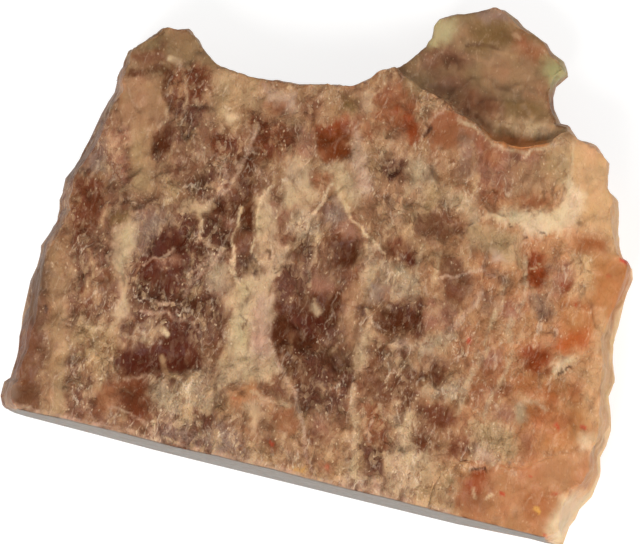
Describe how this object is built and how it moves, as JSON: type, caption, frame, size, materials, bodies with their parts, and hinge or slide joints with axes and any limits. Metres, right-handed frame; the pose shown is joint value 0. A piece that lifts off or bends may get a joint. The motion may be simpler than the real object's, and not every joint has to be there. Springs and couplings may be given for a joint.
{
  "type": "rough sunstone slab",
  "caption": "Rough slab of sunstone feldspar with a broken, glittering face, two horns on its top edge and a sawn bottom edge, lying flat on its back.",
  "frame": {"origin": "middle of the bounding box at the surface the slab rests on", "axes": "+Z out of the best face, +X along the sawn edge with the thin horn on the +X side, +Y from the sawn edge towards the horns"},
  "size_m": [0.0744, 0.0632, 0.0161],
  "materials": {
    "feldspar": "glossy broken feldspar: clear red-brown windows between cream and pink veils, orange to the right"
  },
  "bodies": {
    "root": {"sunstone": "feldspar"}
  },
  "joints": []
}
